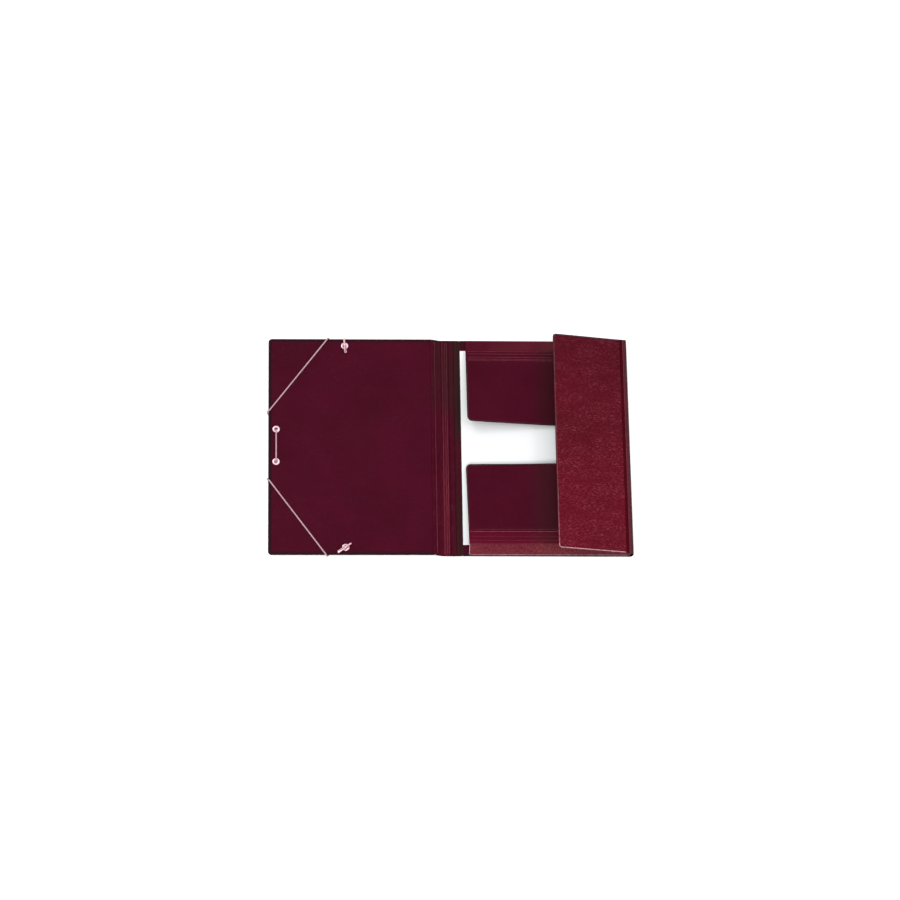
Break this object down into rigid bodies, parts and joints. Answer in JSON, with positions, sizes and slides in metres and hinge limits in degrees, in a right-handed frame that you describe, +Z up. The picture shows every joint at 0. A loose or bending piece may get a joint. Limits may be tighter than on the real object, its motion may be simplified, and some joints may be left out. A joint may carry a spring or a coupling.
{
  "type": "document folder",
  "caption": "Open document folder of film welded over board, with a creased spine, three flaps folded in over the back cover, and an elastic cord held by eyelets.",
  "frame": {"origin": "centre of the back cover's underside, where the open folder lies on the table", "axes": "+X from the spine to the back cover's outer edge, +Y to the folder's top edge, +Z up, out of the inner face"},
  "size_m": [0.5163, 0.3348, 0.0333],
  "materials": {
    "cover_film": "fine grain",
    "flap_film": "leather grain, half gloss",
    "paper": "plain",
    "eyelet_metal": "polished",
    "bar_metal": "polished",
    "cord": "braided"
  },
  "bodies": {
    "back_cover": {"back_cover": "cover_film", "paper_sheets": "paper", "top_flap": "flap_film", "bottom_flap": "flap_film"},
    "spine": {"spine": "cover_film"},
    "front_cover": {"front_cover": "cover_film", "eyelet_top": "eyelet_metal", "eyelet_edge_upper": "eyelet_metal", "eyelet_edge_lower": "eyelet_metal", "eyelet_bottom": "eyelet_metal", "elastic_cord": "cord", "cord_bar_top": "bar_metal", "cord_bar_bottom": "bar_metal"},
    "side_gusset": {"side_gusset": "flap_film"},
    "side_flap": {"side_flap": "flap_film"}
  },
  "joints": [
    {"name": "spine_hinge", "type": "hinge", "parent": "back_cover", "child": "spine", "pos_m": [-0.1205, 0, 0.0017], "axis": [0, 1, 0], "range_deg": [0, 90]},
    {"name": "front_cover_hinge", "type": "hinge", "parent": "spine", "child": "front_cover", "pos_m": [-0.1593, 0, 0.0063], "axis": [0, 1, 0], "range_deg": [0, 90.4]},
    {"name": "side_gusset_hinge", "type": "hinge", "parent": "back_cover", "child": "side_gusset", "pos_m": [0.1203, 0, 0.0017], "axis": [0, 1, 0], "range_deg": [0, 74]},
    {"name": "side_flap_hinge", "type": "hinge", "parent": "side_gusset", "child": "side_flap", "pos_m": [0.112, 0, 0.0118], "axis": [0, 1, 0], "range_deg": [0, 100.5]}
  ]
}
